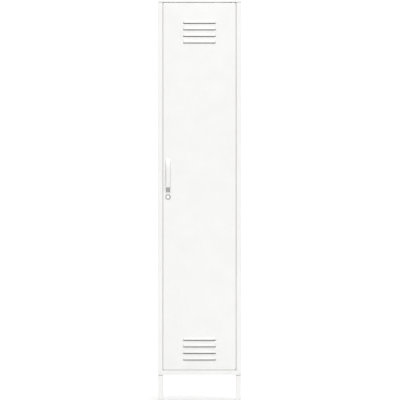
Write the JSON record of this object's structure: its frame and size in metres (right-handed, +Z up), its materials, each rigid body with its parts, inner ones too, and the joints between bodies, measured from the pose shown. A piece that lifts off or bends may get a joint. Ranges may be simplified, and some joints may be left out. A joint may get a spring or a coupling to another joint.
{
  "type": "locker cabinet",
  "caption": "Tall, slim white steel locker cabinet on square legs, with a full-height louvred door, a hooded pull, a cam lock and shelves inside.",
  "frame": {"origin": "on the floor, under the middle of the outer box", "axes": "+Z up, +X to the right seen from the front, -Y out of the front (door) side"},
  "size_m": [0.384, 0.4, 1.85],
  "materials": {
    "white_steel": "satin white powder coat",
    "zinc_steel": "bright zinc plating",
    "nickel_lock": "satin nickel",
    "chromed_lock": "polished",
    "black_rubber": "matt",
    "white_nylon": "matt",
    "handle_plastic": "satin white moulding",
    "grey_plastic": "matt",
    "magnet_ferrite": "dull"
  },
  "bodies": {
    "cabinet": {"left_side_panel": "white_steel", "right_side_panel": "white_steel", "back_panel": "white_steel", "top_cap": "white_steel", "base_tray": "white_steel", "shelf_rail_front_left": "white_steel", "shelf_rail_front_right": "white_steel", "shelf_rail_rear_left": "white_steel", "shelf_rail_rear_right": "white_steel", "shelf_clips": "zinc_steel", "shelf_1": "white_steel", "shelf_2": "white_steel", "shelf_3": "white_steel", "shelf_4": "white_steel", "leg_front_left": "white_steel", "leg_front_right": "white_steel", "leg_rear_left": "white_steel", "leg_rear_right": "white_steel", "leg_studs": "zinc_steel", "leg_pads": "black_rubber", "foot_glides": "white_nylon", "corner_brackets": "zinc_steel", "leg_nuts": "zinc_steel", "cap_screws": "zinc_steel", "cap_nuts": "zinc_steel", "base_screws": "zinc_steel", "base_nuts": "zinc_steel", "back_rivets": "zinc_steel", "hinge_plate_top": "zinc_steel", "hinge_plate_bottom": "zinc_steel", "hinge_pin_top": "zinc_steel", "hinge_pin_bottom": "zinc_steel", "magnet_housings": "white_nylon", "magnets": "magnet_ferrite", "magnet_screws": "zinc_steel"},
    "door": {"door_skin": "white_steel", "door_stiffener": "white_steel", "hinge_bush_top": "white_nylon", "hinge_bush_bottom": "white_nylon", "door_hinge_bracket_top": "zinc_steel", "door_hinge_bracket_bottom": "zinc_steel", "door_bumpers": "black_rubber", "handle_pull": "handle_plastic", "handle_finger_cup": "grey_plastic", "handle_screws": "zinc_steel", "lock_housing": "nickel_lock", "lock_nut": "zinc_steel"},
    "lock": {"lock_plug": "chromed_lock", "lock_cam": "zinc_steel", "cam_screw": "zinc_steel"}
  },
  "joints": [
    {"name": "door_hinge", "type": "hinge", "parent": "cabinet", "child": "door", "pos_m": [0.1545, -0.1745, 0.989], "axis": [0, 0, 1], "range_deg": [0, 110]},
    {"name": "lock_turn", "type": "hinge", "parent": "door", "child": "lock", "pos_m": [-0.1455, -0.18, 0.939], "axis": [0, 1, 0], "range_deg": [0, 90]}
  ]
}
